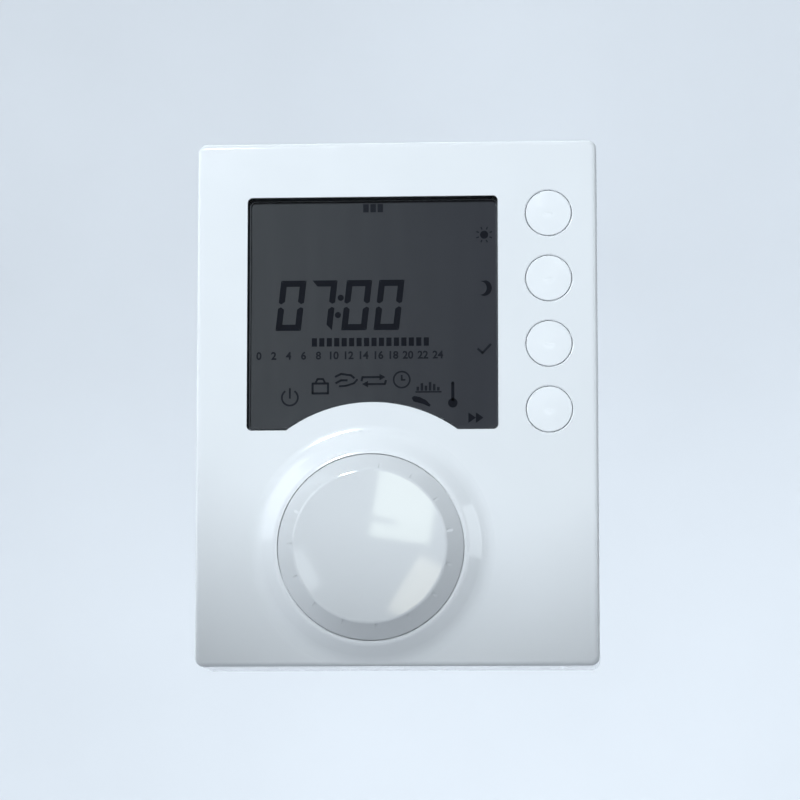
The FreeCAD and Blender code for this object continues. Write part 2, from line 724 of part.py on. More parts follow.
def encoder_shaft():
    shaft = cyl(DIAL_X, DIAL_Y, ROTOR_Z0, SHAFT_TOP_Z, SHAFT_R)
    flat = box(DIAL_X - 4, DIAL_X + 4, DIAL_Y + SHAFT_FLAT, DIAL_Y + 4, 20.6, SHAFT_TOP_Z + 1)
    tip = Part.makeCone(SHAFT_R + 1, SHAFT_R - 0.6, 1.6, V(DIAL_X, DIAL_Y, SHAFT_TOP_Z - 1.6 + 0.2))
    neck = cyl(DIAL_X, DIAL_Y, ROTOR_Z0 - 1, SHAFT_TOP_Z - 1.4, SHAFT_R + 2)
    return shaft.cut(flat).common(fuse([tip, neck]))


def knob_side_r(z):
    """Radius of the flared side at height z."""
    t = (KNOB_TOP_Z - z) / (KNOB_TOP_Z - KNOB_BASE_Z - KNOB_LAND)
    return KNOB_TOP_R + (KNOB_BASE_R - KNOB_TOP_R) * t


def knob_body():
    """The turned body: a short land, a flared side, a rounded rim and a flat top."""
    flare = math.atan2(KNOB_TOP_Z - KNOB_BASE_Z - KNOB_LAND, KNOB_BASE_R - KNOB_TOP_R)
    reach = KNOB_RIM_R * math.tan(flare / 2)
    face_r = KNOB_TOP_R - reach
    face_edge = V(face_r, 0, KNOB_TOP_Z)
    rim_mid = V(face_r + KNOB_RIM_R * math.sin(flare / 2), 0,
                KNOB_TOP_Z - KNOB_RIM_R * (1 - math.cos(flare / 2)))
    side_top = V(KNOB_TOP_R + reach * math.cos(flare), 0, KNOB_TOP_Z - reach * math.sin(flare))
    top = V(0, 0, KNOB_TOP_Z)
    centre = V(0, 0, KNOB_BASE_Z)
    base = V(KNOB_BASE_R, 0, KNOB_BASE_Z)
    land = V(KNOB_BASE_R, 0, KNOB_BASE_Z + KNOB_LAND)
    edges = [Part.LineSegment(centre, base).toShape(),
             Part.LineSegment(base, land).toShape(),
             Part.LineSegment(land, side_top).toShape(),
             Part.Arc(side_top, rim_mid, face_edge).toShape(),
             Part.LineSegment(face_edge, top).toShape(),
             Part.LineSegment(top, centre).toShape()]
    return Part.Face(Part.Wire(edges)).revolve(ORIGIN, AXIS_Z, 360)


def knob_notches():
    """Small finger notches in the flared side, deepest just under the rim."""
    high = KNOB_TOP_Z - 0.3
    low = high - KNOB_NOTCH_LEN
    outline = [(knob_side_r(low), low), (knob_side_r(low) + 1.0, high),
               (knob_side_r(high) - KNOB_NOTCH_DEPTH, high)]
    notches = []
    for i in range(KNOB_NOTCHES):
        notch = revolve(outline, KNOB_NOTCH_ANGLE)
        turn = KNOB_NOTCH_FIRST + 360.0 / KNOB_NOTCHES * i
        notch.rotate(ORIGIN, AXIS_Z, turn - KNOB_NOTCH_ANGLE / 2)
        notches.append(notch)
    return notches


def dial_knob():
    body = cut(knob_body(), knob_notches())
    room = Part.makeCone(KNOB_BASE_R - KNOB_WALL, KNOB_TOP_R - KNOB_WALL - 0.2,
                         KNOB_TOP_Z - 2.0 - KNOB_BASE_Z + 1, V(0, 0, KNOB_BASE_Z - 1))
    body = body.cut(room)
    hub_z = ENC_TOP_Z + 0.6
    inside = [cyl(0, 0, hub_z, KNOB_TOP_Z - 1.5, 5.0)]
    for i in range(KNOB_WEBS):
        web = box(4.5, KNOB_TOP_R - KNOB_WALL + 0.6, -0.5, 0.5, KNOB_BASE_Z + 1.0, KNOB_TOP_Z - 1.5)
        web.rotate(ORIGIN, AXIS_Z, 360.0 / KNOB_WEBS * i + 30)
        inside.append(web)
    body = fuse([body] + inside)
    bore = cyl(0, 0, hub_z - 1, SHAFT_TOP_Z + 0.2, SHAFT_R + 0.03)
    bore = bore.cut(box(-4, 4, SHAFT_FLAT + 0.03, 5, 20.9, KNOB_TOP_Z))
    body = body.cut(bore)
    body.translate(V(DIAL_X, DIAL_Y, 0))
    return body


# ---- push buttons ----------------------------------------------------------
def button_cap(y):
    """A round cap with a faint dome, a flange behind the face and a stem."""
    top = FACE_Z + BUTTON_PROUD
    dome_r = (BUTTON_R ** 2 + BUTTON_SAG ** 2) / (2 * BUTTON_SAG)
    cap = cyl(BUTTON_X, y, INNER_Z - 0.4, top, BUTTON_R)
    dome = Part.makeSphere(dome_r, V(BUTTON_X, y, top - dome_r))
    cap = cap.common(dome)
    rim = [e for e in cap.Edges if e.BoundBox.ZMin > FACE_Z - 1 and e.BoundBox.XLength > 2]
    cap = cap.makeFillet(BUTTON_EDGE_R, rim)
    flange = cyl(BUTTON_X, y, 17.6, INNER_Z - 0.1, BUTTON_FLANGE_R)
    stem = cyl(BUTTON_X, y, PLUNGER_TOP_Z, 17.8, 2.0)
    return fuse([cap, flange, stem])


def switch_plunger(y):
    shaft = cyl(BUTTON_X, y, 16.5, PLUNGER_TOP_Z, PLUNGER_R)
    foot = cyl(BUTTON_X, y, 16.45, 16.75, 1.6)
    return fuse([shaft, foot])


def switch_bases():
    bases = []
    for y in button_ys():
        body = box(BUTTON_X - SWITCH_HALF, BUTTON_X + SWITCH_HALF, y - SWITCH_HALF,
                   y + SWITCH_HALF, BOARD_TOP, SWITCH_TOP_Z)
        well = cyl(BUTTON_X, y, SWITCH_WELL_Z, SWITCH_TOP_Z + 1, DOME_REACH + 0.2)
        bases.append(body.cut(well))
    return group(bases)


def switch_covers():
    covers = []
    for y in button_ys():
        lid = box(BUTTON_X - SWITCH_HALF, BUTTON_X + SWITCH_HALF, y - SWITCH_HALF,
                  y + SWITCH_HALF, SWITCH_TOP_Z, SWITCH_TOP_Z + SWITCH_LID_T)
        covers.append(lid.cut(cyl(BUTTON_X, y, SWITCH_TOP_Z - 1, SWITCH_TOP_Z + 1, PLUNGER_R + 0.08)))
    return group(covers)


def switch_domes():
    """The sprung metal discs that the plungers press down."""
    domes = []
    ball = (DOME_REACH ** 2 + DOME_RISE ** 2) / (2 * DOME_RISE)
    centre_z = SWITCH_WELL_Z + DOME_RISE - ball
    for y in button_ys():
        outer = Part.makeSphere(ball, V(BUTTON_X, y, centre_z))
        inner = Part.makeSphere(ball, V(BUTTON_X, y, centre_z - DOME_T))
        disc = cyl(BUTTON_X, y, SWITCH_WELL_Z, SWITCH_WELL_Z + 1, DOME_REACH)
        domes.append(outer.common(disc).cut(inner))
    return group(domes)


# ---- wall plate and terminal block -----------------------------------------
def wall_plate():
    half = PLATE_W / 2
    floor = slab(-half, half, PLATE_Y0, PLATE_Y1, 0, PLATE_T, 1.2)
    rim_block = slab(-half, half, PLATE_Y0, PLATE_Y1 - 6, 0, PLATE_RIM_Z, 1.2)
    rim_room = box(-half + PLATE_RIM_T, half - PLATE_RIM_T, PLATE_Y0 + PLATE_RIM_T,
                   PLATE_Y1 + 1, -1, PLATE_RIM_Z + 1)
    parts = [floor, rim_block.cut(rim_room)]
    for sx in (-1, 1):
        x0 = sx * HOOK_X - HOOK_HALF
        x1 = sx * HOOK_X + HOOK_HALF
        parts.append(box(x0, x1, PLATE_Y1 - 1.4, PLATE_Y1, PLATE_T, HOOK_Z + 0.8))
        parts.append(box(x0, x1, PLATE_Y1 - 1.4, HOOK_Y, HOOK_Z - 0.8, HOOK_Z + 0.8))
        parts.append(lying_cyl(x0, x1, HOOK_Y, HOOK_Z, HOOK_NOSE_R))
    for x in (-7.0, 7.0):
        parts.append(box(x - 3.0, x + 3.0, PLATE_Y0, PLATE_Y0 + PLATE_RIM_T, PLATE_RIM_Z - 0.2, 6.6))
        parts.append(Part.makeCylinder(0.25, 5.0, V(x - 2.5, PLATE_Y0, 5.6), AXIS_X))
    plate = fuse(parts)
    cutters = [slot_x(sx * FIX_PITCH / 2, 0, -1, PLATE_T + 1, FIX_SLOT_R, FIX_SLOT_LEN)
               for sx in (-1, 1)]
    opening = slab(-CABLE_X, CABLE_X, CABLE_Y0, CABLE_Y1, -1, PLATE_T + 1, 2.5)
    cutters.append(opening)
    for x in (-11.5, -2.5, 2.5, 11.5):
        cutters.append(box(x - 0.5, x + 0.5, PLATE_Y0 - 1, PLATE_Y0 + PLATE_RIM_T + 0.5, PLATE_T, 7))
    for sx in (-1, 1):
        cutters.append(cyl(sx * TERM_SCREW_X, CAGE_Y - 2, -1, PLATE_T + 1, SCREW_HOLE_R))
    return cut(plate, cutters)


def terminal_housing():
    body = box(-TERM_X, TERM_X, TERM_Y0, TERM_Y1, PLATE_T, TERM_TOP_Z)
    block_half = POLE_PITCH * 1.5 + 0.6
    cutters = [box(-TERM_X - 1, -block_half, TERM_Y0 - 1, TERM_Y1 + 1, TERM_EAR_Z, TERM_TOP_Z + 1),
               box(block_half, TERM_X + 1, TERM_Y0 - 1, TERM_Y1 + 1, TERM_EAR_Z, TERM_TOP_Z + 1)]
    for x in POLE_XS:
        cutters.append(box(x - 2.9, x + 2.9, CAGE_Y - 3.0, CAGE_Y + 3.0, CAGE_Z0 - 0.2, CAGE_Z1))
        cutters.append(cyl(x, CAGE_Y, CAGE_Z1 - 0.5, TERM_TOP_Z + 1, 2.3))
        cutters.append(box(x - 2.1, x + 2.1, CAGE_Y + 2, TERM_Y1 + 1, CAGE_Z0 + 0.4, CAGE_Z0 + 4.2))
        cutters.append(box(x - 1.7, x + 1.7, BLADE_Y - 0.3, CAGE_Y, CAGE_Z0 - 0.2, CAGE_Z0 + 1.3))
        cutters.append(box(x - BLADE_T / 2 - 0.1, x + BLADE_T / 2 + 0.1,
                           BLADE_Y - BLADE_W / 2 - 0.1, BLADE_Y + BLADE_W / 2 + 0.1,
                           CAGE_Z0 - 0.2, TERM_TOP_Z + 1))
    for sx in (-1, 1):
        cutters.append(cyl(sx * TERM_SCREW_X, CAGE_Y - 2, PLATE_T - 1, TERM_EAR_Z + 1, SCREW_HOLE_R))
    return cut(body, cutters)


def terminal_clamps():
    """One square cage for each pole, open along Y for the wire and the blade."""
    cages = []
    for x in POLE_XS:
        block = box(x - 2.7, x + 2.7, CAGE_Y - 2.6, CAGE_Y + 2.6, CAGE_Z0, CAGE_Z1 - 0.1)
        way = box(x - 1.8, x + 1.8, CAGE_Y - 4, CAGE_Y + 4, CAGE_Z0 + 0.5, CAGE_Z1 - 1.5)
        cages.append(cut(block, [way, cyl(x, CAGE_Y, CAGE_Z1 - 2, CAGE_Z1 + 1, 1.35)]))
    return group(cages)


def terminal_screws():
    screws = []
    for x in POLE_XS:
        head = cyl(x, CAGE_Y, CAGE_Z1 - 0.1, TERM_TOP_Z - 0.1, 2.0)
        shank = cyl(x, CAGE_Y, CAGE_Z0 + 2.9, CAGE_Z1 - 0.1, 1.25)
        slot = box(x - 2.5, x + 2.5, CAGE_Y - 0.3, CAGE_Y + 0.3, TERM_TOP_Z - 0.6, TERM_TOP_Z + 1)
        screws.append(fuse([head, shank]).cut(slot))
    return group(screws)


def terminal_blades():
    """Bent strips: flat in the cage, upright where the housing plugs on."""
    blades = []
    for x in POLE_XS:
        foot = box(x - 1.5, x + 1.5, BLADE_Y, CAGE_Y + 2.2, CAGE_Z0 + 0.55, CAGE_Z0 + 1.15)
        upright = box(x - BLADE_T / 2, x + BLADE_T / 2, BLADE_Y - BLADE_W / 2,
                      BLADE_Y + BLADE_W / 2, CAGE_Z0 + 0.1, BLADE_TIP_Z)
        tip = box(x - 2, x + 2, BLADE_Y - BLADE_W / 2 - 0.1, BLADE_Y - BLADE_W / 2 + 0.6,
                  BLADE_TIP_Z - 0.6, BLADE_TIP_Z + 1)
        blades.append(fuse([foot, upright]).cut(tip))
    return group(blades)


def terminal_block_screws():
    screws = []
    for sx in (-1, 1):
        x = sx * TERM_SCREW_X
        y = CAGE_Y - 2
        head = cyl(x, y, TERM_EAR_Z, TERM_EAR_Z + SCREW_HEAD_T, SCREW_HEAD_R)
        shank = cyl(x, y, 0.2, TERM_EAR_Z, SCREW_R)
        recess = cross_recess(x, y, TERM_EAR_Z + SCREW_HEAD_T, -RECESS_CUT)
        screws.append(fuse([head, shank]).cut(recess))
    return group(screws)


# ---- everything ------------------------------------------------------------
def main():
    os.makedirs("parts", exist_ok=True)
    save("wall_plate", wall_plate())
    save("terminal_housing", terminal_housing())
    save("terminal_clamps", terminal_clamps())
    save("terminal_screws", terminal_screws())
    save("terminal_blades", terminal_blades())
    save("terminal_block_screws", terminal_block_screws())
    save("front_cover", front_cover())
    save("rear_cover", rear_cover())
    save("display_window", display_window())
    save("window_tape", window_tape())
    for name, layer in lcd_layers().items():
        save(name, layer)
    save("lcd_frame", lcd_frame())
    save("zebra_strips", zebra_strips())
    save("circuit_board", circuit_board())
    save("board_screws", board_screws())
    save("case_screws", case_screws())
    save("microcontroller", microcontroller())
    save("support_chips", support_chips())
    save("chip_resistors", chip_resistors())
    save("chip_capacitors", chip_capacitors())
    save("crystal", crystal())
    save("smoothing_capacitors", smoothing_capacitors())
    save("temperature_sensor", temperature_sensor())
    relay_case, relay_base, relay_pins = relay()
    save("relay_case", relay_case)
    save("relay_base", relay_base)
    save("relay_pins", relay_pins)
    save("plug_socket", plug_socket())
    save("socket_contacts", socket_contacts())
    save("battery_upper", cell(CELL_YS[0], False))
    save("battery_lower", cell(CELL_YS[1], True))
    save("battery_springs", battery_springs())
    save("battery_tabs", battery_tabs())
    save("battery_link", battery_link())
    save("encoder_base", encoder_base())
    save("encoder_cover", encoder_cover())
    save("encoder_detent_spring", encoder_detent_spring())
    save("encoder_contacts", encoder_contacts())
    save("encoder_rotor", encoder_rotor())
    save("encoder_shaft", encoder_shaft())
    save("dial_knob", dial_knob())
    save("switch_bases", switch_bases())
    save("switch_covers", switch_covers())
    save("switch_domes", switch_domes())
    for name, y in zip(BUTTON_NAMES, button_ys()):
        save("button_" + name, button_cap(y))
        save("switch_plunger_" + name, switch_plunger(y))


main()
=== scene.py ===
import math

import bmesh
import bpy
from mathutils import Euler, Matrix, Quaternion, Vector


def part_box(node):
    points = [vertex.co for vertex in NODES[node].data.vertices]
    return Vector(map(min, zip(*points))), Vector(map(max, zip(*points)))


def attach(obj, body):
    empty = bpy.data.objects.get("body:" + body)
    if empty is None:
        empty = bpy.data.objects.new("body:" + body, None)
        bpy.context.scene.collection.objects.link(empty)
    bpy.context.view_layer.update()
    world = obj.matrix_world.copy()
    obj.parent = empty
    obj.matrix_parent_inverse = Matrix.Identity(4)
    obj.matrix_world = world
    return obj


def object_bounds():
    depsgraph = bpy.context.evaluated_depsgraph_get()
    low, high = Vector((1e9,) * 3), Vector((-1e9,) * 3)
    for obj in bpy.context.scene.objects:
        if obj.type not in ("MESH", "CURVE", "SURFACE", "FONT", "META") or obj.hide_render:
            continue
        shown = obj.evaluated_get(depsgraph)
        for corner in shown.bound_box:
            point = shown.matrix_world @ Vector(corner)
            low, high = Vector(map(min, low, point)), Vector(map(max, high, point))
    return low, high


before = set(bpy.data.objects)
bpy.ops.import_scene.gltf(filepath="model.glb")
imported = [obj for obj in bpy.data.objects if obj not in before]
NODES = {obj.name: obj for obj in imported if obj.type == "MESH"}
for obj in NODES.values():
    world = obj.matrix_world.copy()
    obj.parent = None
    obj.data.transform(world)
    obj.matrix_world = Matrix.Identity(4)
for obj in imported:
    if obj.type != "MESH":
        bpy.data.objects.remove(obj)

CAD_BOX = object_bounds()
HOUSING = "housing"


def corners(node):
    """A CAD object's lowest and highest corner, in metres."""
    low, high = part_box(node)
    return Vector(low), Vector(high)


# ---------------------------------------------------------------- materials
WHITE = (0.83, 0.84, 0.86)
PLASTIC_IOR = 1.5
COATED_IOR = 1.33
METAL_GRAIN = 0.002
METAL_GRAIN_SCALE = 4.0
# Painted shade: the display's reflecting layer is painted darker from left to right over this
# span, in millimetres.
PANEL_SPAN = (-32.0, 22.0)
PANEL_LIT_LEFT = (0.096, 0.095, 0.096)
PANEL_SHADED_RIGHT = (0.061, 0.060, 0.068)


def new_material(name):
    """An empty material with one principled shader."""
    mat = bpy.data.materials.new(name)
    mat.use_nodes = True
    tree = mat.node_tree
    tree.nodes.clear()
    out = tree.nodes.new("ShaderNodeOutputMaterial")
    shader = tree.nodes.new("ShaderNodeBsdfPrincipled")
    tree.links.new(shader.outputs["BSDF"], out.inputs["Surface"])
    return mat, tree, shader


def place(tree, stretch=(1, 1, 1)):
    """Object coordinates in millimetres, stretched for a grain."""
    coords = tree.nodes.new("ShaderNodeTexCoord")
    mapping = tree.nodes.new("ShaderNodeMapping")
    mapping.inputs["Scale"].default_value = [1000 * s for s in stretch]
    tree.links.new(coords.outputs["Object"], mapping.inputs["Vector"])
    return mapping.outputs["Vector"]


def noise(tree, vector, scale, detail=3.0, rough=0.55):
    node = tree.nodes.new("ShaderNodeTexNoise")
    node.inputs["Scale"].default_value = scale
    node.inputs["Detail"].default_value = detail
    node.inputs["Roughness"].default_value = rough
    tree.links.new(vector, node.inputs["Vector"])
    return node.outputs["Fac"]


def remap(tree, value, low, high, from_low=0.3, from_high=0.7):
    """A value stretched to run from low to high. Noise mostly lies between 0.3 and 0.7."""
    node = tree.nodes.new("ShaderNodeMapRange")
    node.inputs["From Min"].default_value = from_low
    node.inputs["From Max"].default_value = from_high
    node.inputs["To Min"].default_value = low
    node.inputs["To Max"].default_value = high
    tree.links.new(value, node.inputs["Value"])
    return node.outputs["Result"]


def ramp(tree, value, stops, constant=False):
    """Colours laid along a value, blended or in steps."""
    node = tree.nodes.new("ShaderNodeValToRGB")
    ramp_data = node.color_ramp
    if constant:
        ramp_data.interpolation = "CONSTANT"
    while len(ramp_data.elements) < len(stops):
        ramp_data.elements.new(0.5)
    for element, (at, colour) in zip(ramp_data.elements, stops):
        element.position = at
        element.color = (*colour, 1)
    tree.links.new(value, node.inputs["Fac"])
    return node.outputs["Color"]


def bump(tree, shader, height, depth_mm):
    """Fine relief whose full height is depth_mm."""
    node = tree.nodes.new("ShaderNodeBump")
    node.inputs["Strength"].default_value = 1.0
    node.inputs["Distance"].default_value = depth_mm / 1000
    tree.links.new(height, node.inputs["Height"])
    tree.links.new(node.outputs["Normal"], shader.inputs["Normal"])


def shade(colour, k):
    """A colour made k times as bright."""
    return tuple(min(1.0, c * k) for c in colour)


def gloss_plastic(name, colour, rough, ripple, vary=0.02):
    """Polished moulding: faint flow ripple, a little haze and hardly any colour change."""
    mat, tree, shader = new_material(name)
    at = place(tree)
    tint = ramp(tree, noise(tree, at, 0.05, 2), [(0.3, shade(colour, 1 - vary)), (0.7, colour)])
    tree.links.new(tint, shader.inputs["Base Color"])
    haze = remap(tree, noise(tree, at, 0.22, 5, 0.65), rough * 0.75, rough * 1.35)
    tree.links.new(haze, shader.inputs["Roughness"])
    bump(tree, shader, noise(tree, at, 0.16, 1.5), ripple)
    shader.inputs["IOR"].default_value = PLASTIC_IOR
    return mat


def matt_plastic(name, colour, rough, grain, scale, vary=0.05):
    """Spark-textured moulding with a fine even grain."""
    mat, tree, shader = new_material(name)
    at = place(tree)
    tint = ramp(tree, noise(tree, at, 0.08, 3), [(0.3, shade(colour, 1 - vary)), (0.7, colour)])
    tree.links.new(tint, shader.inputs["Base Color"])
    fine = noise(tree, at, scale, 3, 0.6)
    tree.links.new(remap(tree, fine, rough * 0.9, rough * 1.1), shader.inputs["Roughness"])
    bump(tree, shader, fine, grain)
    return mat


def metal(name, colour, rough, stretch=(1, 1, 1)):
    """Plated or rolled metal with a drawn grain along one way."""
    mat, tree, shader = new_material(name)
    at = place(tree, stretch)
    fine = noise(tree, at, METAL_GRAIN_SCALE, 4, 0.6)
    blotch = noise(tree, place(tree), 0.4, 3)
    tint = ramp(tree, blotch, [(0.3, shade(colour, 0.86)), (0.7, colour)])
    tree.links.new(tint, shader.inputs["Base Color"])
    tree.links.new(remap(tree, fine, rough * 0.75, rough * 1.3), shader.inputs["Roughness"])
    shader.inputs["Metallic"].default_value = 1.0
    bump(tree, shader, fine, METAL_GRAIN)
    return mat


def board_material():
    """Green solder mask over copper tracks that show as slightly raised lighter lines."""
    mat, tree, shader = new_material("board_mask")
    at = place(tree)
    cells = tree.nodes.new("ShaderNodeTexBrick")
    cells.inputs["Scale"].default_value = 0.22
    cells.inputs["Mortar Size"].default_value = 0.035
    cells.inputs["Mortar Smooth"].default_value = 0.2
    cells.inputs["Color1"].default_value = (0.010, 0.105, 0.045, 1)
    cells.inputs["Color2"].default_value = (0.012, 0.125, 0.052, 1)
    cells.inputs["Mortar"].default_value = (0.03, 0.22, 0.10, 1)
    turn = tree.nodes.new("ShaderNodeMapping")
    turn.inputs["Rotation"].default_value = (math.radians(90), 0, 0)
    tree.links.new(at, turn.inputs["Vector"])
    tree.links.new(turn.outputs["Vector"], cells.inputs["Vector"])
    tree.links.new(cells.outputs["Color"], shader.inputs["Base Color"])
    haze = remap(tree, noise(tree, at, 1.5, 3), 0.22, 0.38)
    tree.links.new(haze, shader.inputs["Roughness"])
    bump(tree, shader, cells.outputs["Fac"], 0.03)
    return mat


def panel_material():
    """The display's dark reflecting layer: cool grey, with faint upright streaks and painted
    shade that darkens it from left to right.
    """
    mat, tree, shader = new_material("display_panel")
    at = place(tree, (1, 1, 0.12))
    wide = place(tree)
    split = tree.nodes.new("ShaderNodeSeparateXYZ")
    tree.links.new(wide, split.inputs["Vector"])
    # painted shade: the layer's colour runs from lighter at the left to darker at the right
    across = remap(tree, split.outputs["X"], 0.0, 1.0, *PANEL_SPAN)
    painted_shade_across = ramp(tree, across, [(0.0, PANEL_LIT_LEFT), (1.0, PANEL_SHADED_RIGHT)])
    streak = ramp(tree, noise(tree, at, 0.35, 3),
                  [(0.25, (0.90, 0.90, 0.91)), (0.75, (1, 1, 1))])
    mix = tree.nodes.new("ShaderNodeMix")
    mix.data_type = "RGBA"
    mix.blend_type = "MULTIPLY"
    mix.inputs["Factor"].default_value = 1.0
    tree.links.new(painted_shade_across, mix.inputs["A"])
    tree.links.new(streak, mix.inputs["B"])
    tree.links.new(mix.outputs["Result"], shader.inputs["Base Color"])
    tree.links.new(remap(tree, noise(tree, wide, 6.0, 2), 0.60, 0.72), shader.inputs["Roughness"])
    shader.inputs["Specular IOR Level"].default_value = 0.12
    return mat


def ink_material(name, colour):
    """Switched-on crystal: a dark violet-blue that is a little uneven."""
    mat, tree, shader = new_material(name)
    at = place(tree)
    tint = ramp(tree, noise(tree, at, 2.2, 2),
                [(0.3, shade(colour, 0.85)), (0.7, shade(colour, 1.12))])
    tree.links.new(tint, shader.inputs["Base Color"])
    shader.inputs["Roughness"].default_value = 0.6
    shader.inputs["Specular IOR Level"].default_value = 0.1
    return mat


def lens_material():
    """Clear hard-coated plastic: it lets the display through and mirrors a little."""
    mat = bpy.data.materials.new("window_clear")
    mat.use_nodes = True
    tree = mat.node_tree
    tree.nodes.clear()
    out = tree.nodes.new("ShaderNodeOutputMaterial")
    clear = tree.nodes.new("ShaderNodeBsdfTransparent")
    clear.inputs["Color"].default_value = (0.93, 0.94, 0.95, 1)
    gloss = tree.nodes.new("ShaderNodeBsdfGlossy")
    at = place(tree)
    haze = remap(tree, noise(tree, at, 0.3, 4), 0.045, 0.06)
    tree.links.new(haze, gloss.inputs["Roughness"])
    fresnel = tree.nodes.new("ShaderNodeFresnel")
    fresnel.inputs["IOR"].default_value = COATED_IOR
    mix = tree.nodes.new("ShaderNodeMixShader")
    tree.links.new(fresnel.outputs["Fac"], mix.inputs["Fac"])
    tree.links.new(clear.outputs["BSDF"], mix.inputs[1])
    tree.links.new(gloss.outputs["BSDF"], mix.inputs[2])
    tree.links.new(mix.outputs["Shader"], out.inputs["Surface"])
    return mat


def glass_material():
    """Thin greenish sheet glass that is mostly clear."""
    mat, tree, shader = new_material("display_glass")
    at = place(tree)
    tint = ramp(tree, noise(tree, at, 0.1, 2),
                [(0.3, (0.62, 0.72, 0.70)), (0.7, (0.68, 0.78, 0.76))])
    tree.links.new(tint, shader.inputs["Base Color"])
    tree.links.new(remap(tree, noise(tree, at, 0.5, 2), 0.03, 0.06), shader.inputs["Roughness"])
    shader.inputs["Transmission Weight"].default_value = 0.6
    return mat


def cell_sleeve(name, x_minus, x_plus):
    """A printed sleeve between the flat and the raised end, whose x is in metres."""
    mat, tree, shader = new_material(name)
    at = place(tree)
    split = tree.nodes.new("ShaderNodeSeparateXYZ")
    tree.links.new(at, split.inputs["Vector"])
    along = remap(tree, split.outputs["X"], 0.0, 1.0, x_minus * 1000, x_plus * 1000)
    steel = (0.60, 0.60, 0.58)
    body = (0.028, 0.035, 0.045)
    line = (0.62, 0.62, 0.60)
    band = (0.60, 0.30, 0.10)
    body_at, line_at, band_at, cap_at = 0.012, 0.72, 0.735, 0.972
    colour = ramp(tree, along, [(0.0, steel), (body_at, body), (line_at, line),
                                (band_at, band), (cap_at, steel)], constant=True)
    tree.links.new(colour, shader.inputs["Base Color"])
    bare = ramp(tree, along, [(0.0, (1, 1, 1)), (body_at, (0, 0, 0)),
                              (band_at, (0.7, 0.7, 0.7)), (cap_at, (1, 1, 1))], constant=True)
    tree.links.new(bare, shader.inputs["Metallic"])
    tree.links.new(remap(tree, noise(tree, at, 0.8, 4), 0.22, 0.36), shader.inputs["Roughness"])
    bump(tree, shader, noise(tree, at, 0.5, 2), 0.01)
    return mat


MATERIALS = {
    "cover_white": gloss_plastic("cover_white", WHITE, 0.10, 0.004),
    # The knob's white is the cover's white made 0.87 times as bright: painted shade that dims the
    # knob's top and its down-facing flare.
    "dial_white_shaded": gloss_plastic("dial_white_shaded", shade(WHITE, 0.87), 0.045, 0.0015),
    "button_white": gloss_plastic("button_white", shade(WHITE, 1.0), 0.60, 0.003),
    "rear_white": matt_plastic("rear_white", (0.74, 0.75, 0.75), 0.50, 0.015, 3.5),
    "plate_white": matt_plastic("plate_white", (0.76, 0.77, 0.77), 0.55, 0.02, 3.0),
    "mask_tape": matt_plastic("mask_tape", (0.012, 0.012, 0.018), 0.5, 0.004, 5.0, 0.2),
    "panel": panel_material(),
    "glass": glass_material(),
    "window": lens_material(),
    "dark_moulding": matt_plastic("dark_moulding", (0.025, 0.025, 0.028), 0.45, 0.01, 4.0, 0.15),
    "rubber_strip": matt_plastic("rubber_strip", (0.45, 0.22, 0.20), 0.7, 0.02, 3.0, 0.2),
    "board": board_material(),
    "steel": metal("zinc_steel", (0.58, 0.59, 0.61), 0.34),
    "nickel": metal("nickel_plate", (0.72, 0.70, 0.66), 0.22),
    "brass": metal("brass_leaf", (0.76, 0.56, 0.26), 0.25, (0.2, 1, 1)),
    "turned": metal("turned_shaft", (0.75, 0.75, 0.76), 0.28, (1, 6, 1)),
    "can": metal("drawn_can", (0.70, 0.71, 0.72), 0.3, (1, 0.15, 1)),
    "epoxy": matt_plastic("chip_epoxy", (0.018, 0.018, 0.020), 0.42, 0.01, 6.0, 0.2),
    "ceramic": matt_plastic("ceramic_chip", (0.40, 0.29, 0.18), 0.4, 0.01, 5.0, 0.15),
    "bead": gloss_plastic("dipped_bead", (0.16, 0.045, 0.02), 0.2, 0.02, 0.2),
    "relay": gloss_plastic("relay_case", (0.02, 0.07, 0.26), 0.28, 0.006, 0.1),
    "connector": matt_plastic("connector_green", (0.05, 0.25, 0.11), 0.4, 0.012, 4.0, 0.1),
}

BY_NODE = {
    "cover_white": ["front_cover"],
    "dial_white_shaded": ["dial_knob"],
    "button_white": ["button_comfort", "button_economy", "button_ok", "button_next"],
    "rear_white": ["rear_cover"],
    "plate_white": ["wall_plate"],
    "mask_tape": ["window_tape"],
    "panel": ["lcd_front_polariser", "lcd_rear_polariser"],
    "glass": ["lcd_front_glass", "lcd_rear_glass"],
    "window": ["display_window"],
    "dark_moulding": ["lcd_frame", "relay_base", "plug_socket", "encoder_base", "encoder_rotor",
                      "switch_bases", "switch_plunger_comfort", "switch_plunger_economy",
                      "switch_plunger_ok", "switch_plunger_next"],
    "rubber_strip": ["zebra_strips"],
    "board": ["circuit_board"],
    "steel": ["board_screws", "case_screws", "terminal_screws", "terminal_block_screws",
              "encoder_cover", "encoder_detent_spring", "switch_covers", "switch_domes"],
    "nickel": ["terminal_clamps", "terminal_blades", "crystal", "relay_pins", "socket_contacts",
               "battery_springs", "battery_tabs", "battery_link"],
    "brass": ["encoder_contacts"],
    "turned": ["encoder_shaft"],
    "can": ["smoothing_capacitors"],
    "epoxy": ["microcontroller", "support_chips", "chip_resistors"],
    "ceramic": ["chip_capacitors"],
    "bead": ["temperature_sensor"],
    "relay": ["relay_case"],
    "connector": ["terminal_housing"],
}


def paint(node, mat):
    obj = NODES[node]
    obj.data.materials.clear()
    obj.data.materials.append(mat)


for key, names in BY_NODE.items():
    for name in names:
        paint(name, MATERIALS[key])

lo, hi = corners("battery_upper")
paint("battery_upper", cell_sleeve("sleeve_upper", lo.x, hi.x))
lo, hi = corners("battery_lower")
paint("battery_lower", cell_sleeve("sleeve_lower", hi.x, lo.x))


